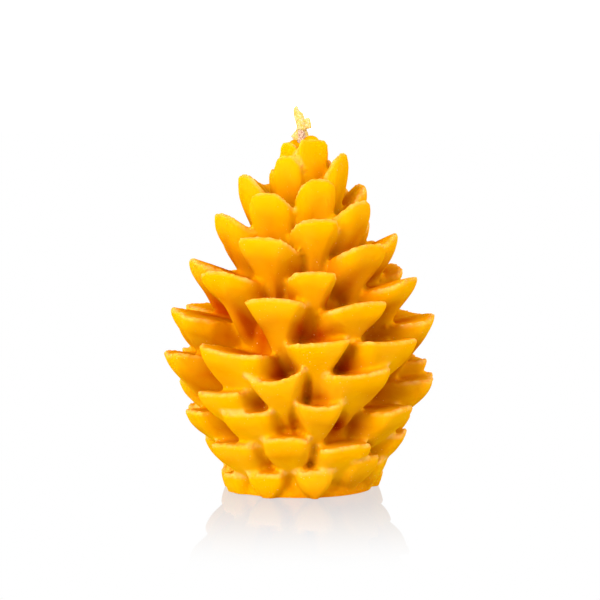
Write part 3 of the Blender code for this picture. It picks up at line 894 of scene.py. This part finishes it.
def beeswax():
    """Amber wax with painted light: deep orange painted shade between the scales, on their decks and on
    flanks turned sideways, golden on their open faces, and pale along their rims, partly frost and partly a
    painted highlight.
    """
    made = Nodes("beeswax")
    # Painted shade: how open a point lies, how near a rim, how near the cone's outline and how much it faces
    # outwards, each with its share
    shares = [
        (made.ranged(made.attribute("open"), 0.05, 0.85), OPEN_SHADE_SHARE),
        (made.ranged(made.attribute("rim_distance"), 9.0, 0.5), RIM_DISTANCE_SHADE_SHARE),
        (made.ranged(made.attribute("inward"), 13.0, 2.0), OUTER_SHADE_SHARE),
        (made.attribute("facing"), FACING_SHADE_SHARE),
    ]
    lit = made.times(*shares[0])
    for share in shares[1:]:
        lit = made.plus(lit, made.times(*share))
    lit = made.ranged(lit, 0.05, 1.0)
    # Painted shade: deep orange where little light reaches, golden on the faces that light reaches
    colour = made.mix(lit, WAX_PAINTED_SHADE, WAX_FACE)
    # Painted shade on the decks, under the scales above
    colour = made.mix(made.times(made.attribute("deck"), 0.5), colour, WAX_DECK_SHADE)
    top = made.times(made.ranged(made.height(), 0.055, 0.095), 0.5)
    colour = made.mix(made.times(top, lit), colour, WAX_TOP_FACE)
    patches = made.times(made.ranged(made.noise(9.0), 0.35, 0.7), 0.25)
    colour = made.mix(made.times(patches, lit), colour, WAX_PATCH)
    # Pale rims, only where they lie open and outermost: partly frost, partly a painted highlight
    frost_and_highlight = made.times(made.ranged(made.attribute("rim_distance"), 1.5, 0.1),
                       made.ranged(made.noise(2.5), 0.3, 0.65, 0.12, 0.5))
    frost_and_highlight = made.times(frost_and_highlight, made.ranged(made.attribute("open"), 0.35, 0.7))
    frost_and_highlight = made.times(frost_and_highlight, made.ranged(made.attribute("inward"), 10.0, 5.0))
    colour = made.mix(frost_and_highlight, colour, WAX_FROST_AND_HIGHLIGHT)
    specks = made.ranged(made.noise(0.45, 0.0), 0.81, 0.84)
    colour = made.mix(made.times(specks, 0.3), colour, WAX_SPECK)
    made.link(colour, made.shader.inputs["Base Color"])
    made.link(made.ranged(made.noise(3.0), 0.3, 0.7, 0.38, 0.50), made.shader.inputs["Roughness"])
    made.bump([(made.noise(1.6, 3.0), 0.10), (made.noise(0.35), 0.02)])
    made.set(Subsurface_Weight=0.5, Subsurface_Radius=(1.0, 0.42, 0.08), Subsurface_Scale=0.002,
             Specular_IOR_Level=0.0, IOR=1.44)
    return made.material


def crumbly_wax():
    """Thin pale wax with a dry, broken surface."""
    made = Nodes("crumbly_wax")
    colour = made.mix(made.ranged(made.noise(0.8), 0.35, 0.65), CRUST_YELLOW, CRUST_CREAM)
    made.link(colour, made.shader.inputs["Base Color"])
    made.bump([(made.noise(0.5, 3.0), 0.015)])
    made.set(Roughness=0.6, Subsurface_Weight=0.5, Subsurface_Radius=(1.0, 0.6, 0.2), Subsurface_Scale=0.001,
             Specular_IOR_Level=0.2)
    return made.material


def cotton():
    """Cotton soaked with wax, with the fine lines of its threads."""
    made = Nodes("cotton")
    threads = made.node("ShaderNodeTexWave", Scale=900.0, Distortion=3.0, Detail=2.0,
                        bands_direction="DIAGONAL")
    made.link(made.position(), threads.inputs["Vector"])
    made.link(made.mix(threads.outputs["Fac"], THREAD_DARK, THREAD_LIGHT), made.shader.inputs["Base Color"])
    made.bump([(threads.outputs["Fac"], 0.05)])
    made.set(Roughness=0.85, Specular_IOR_Level=0.2, Sheen_Weight=0.3)
    return made.material


def table_top():
    """Glossy white acrylic, evenly lit, that faintly mirrors the candle and the backdrop close to it."""
    made = Nodes("acrylic")
    made.tree.nodes.remove(made.shader)
    distance = made.node("ShaderNodeVectorMath", operation="LENGTH")
    made.link(made.position(), distance.inputs[0])
    mirrored = made.ranged(distance.outputs["Value"], 0.0, MIRROR_REACH, MIRROR_SHARE, 0.0)
    # Glow and mirrored backdrop together stay white: the more the table mirrors, the less it glows
    glowing = made.math("SUBTRACT", 1.0, mirrored)
    left_to_glow = made.math("SUBTRACT", 1.0, made.times(mirrored, BACKDROP))
    glow = made.node("ShaderNodeEmission", Color=WHITE)
    made.link(made.math("DIVIDE", left_to_glow, glowing), glow.inputs["Strength"])
    gloss = made.node("ShaderNodeBsdfGlossy", Color=WHITE, Roughness=0.03)
    both = made.node("ShaderNodeMixShader")
    for source, socket in zip((mirrored, glow.outputs[0], gloss.outputs[0]), both.inputs):
        made.link(source, socket)
    made.link(both.outputs[0], made.tree.nodes["Material Output"].inputs["Surface"])
    return made.material


def surroundings():
    """White all round, and brighter low down, where the table mirrors it."""
    world = bpy.data.worlds.new("surroundings")
    world.use_nodes = True
    tree = world.node_tree
    split = tree.nodes.new("ShaderNodeSeparateXYZ")
    tree.links.new(tree.nodes.new("ShaderNodeTexCoord").outputs["Generated"], split.inputs[0])
    band = tree.nodes.new("ShaderNodeMapRange")
    band.interpolation_type = "SMOOTHSTEP"
    limits = zip(("From Min", "From Max", "To Min", "To Max"), (*BACKDROP_EDGE, 1.0, BACKDROP))
    for name, value in limits:
        band.inputs[name].default_value = value
    tree.links.new(split.outputs["Z"], band.inputs["Value"])
    background = tree.nodes["Background"]
    background.inputs["Color"].default_value = WHITE
    tree.links.new(band.outputs["Result"], background.inputs["Strength"])
    return world


def place_table():
    """The table, just under the base."""
    half = TABLE_HALF
    corners = [(-half, -half, 0), (half, -half, 0), (half, half, 0), (-half, half, 0)]
    mesh = bpy.data.meshes.new("table")
    mesh.from_pydata(corners, [], [(0, 1, 2, 3)])
    mesh.materials.append(table_top())
    table = bpy.data.objects.new("table", mesh)
    table.location.z = -TABLE_DROP
    bpy.context.scene.collection.objects.link(table)


def aimed(data, place, aim):
    """An object of a lamp or camera at a place, pointed at an aim."""
    made = bpy.data.objects.new(data.name, data)
    made.location = place
    made.rotation_euler = (aim - Vector(place)).to_track_quat("-Z", "Y").to_euler()
    bpy.context.scene.collection.objects.link(made)
    return made


def place_lamps():
    """Soft square lamps aimed at the candle's middle."""
    for name, place, size, power, gloss in LAMPS:
        data = bpy.data.lights.new(name, "AREA")
        data.size = size
        data.energy = power
        data.specular_factor = gloss
        aimed(data, place, LAMP_AIM)


def place_camera():
    """The photo's viewpoint: a long lens, a little above the candle."""
    data = bpy.data.cameras.new("camera")
    data.lens = CAMERA_LENS
    data.shift_y = CAMERA_SHIFT
    bpy.context.scene.camera = aimed(data, CAMERA_PLACE, CAMERA_AIM)


def studio():
    """White glossy table, white surroundings, soft lamps and the camera."""
    place_table()
    bpy.context.scene.world = surroundings()
    place_lamps()
    place_camera()
    bpy.context.scene.view_settings.view_transform = "Standard"


def main():
    """Makes the candle's three pieces, rides them on the frame and sets the studio round them."""
    wax = wax_body()
    braid = wick()
    flakes = crust()
    for piece, node, slot in (
        (wax, "wax_body", "beeswax"),
        (braid, "wick", "cotton"),
        (flakes, "wick_coat", "wax_crust"),
    ):
        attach(piece, "root")
        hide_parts(node)
    studio()


main()
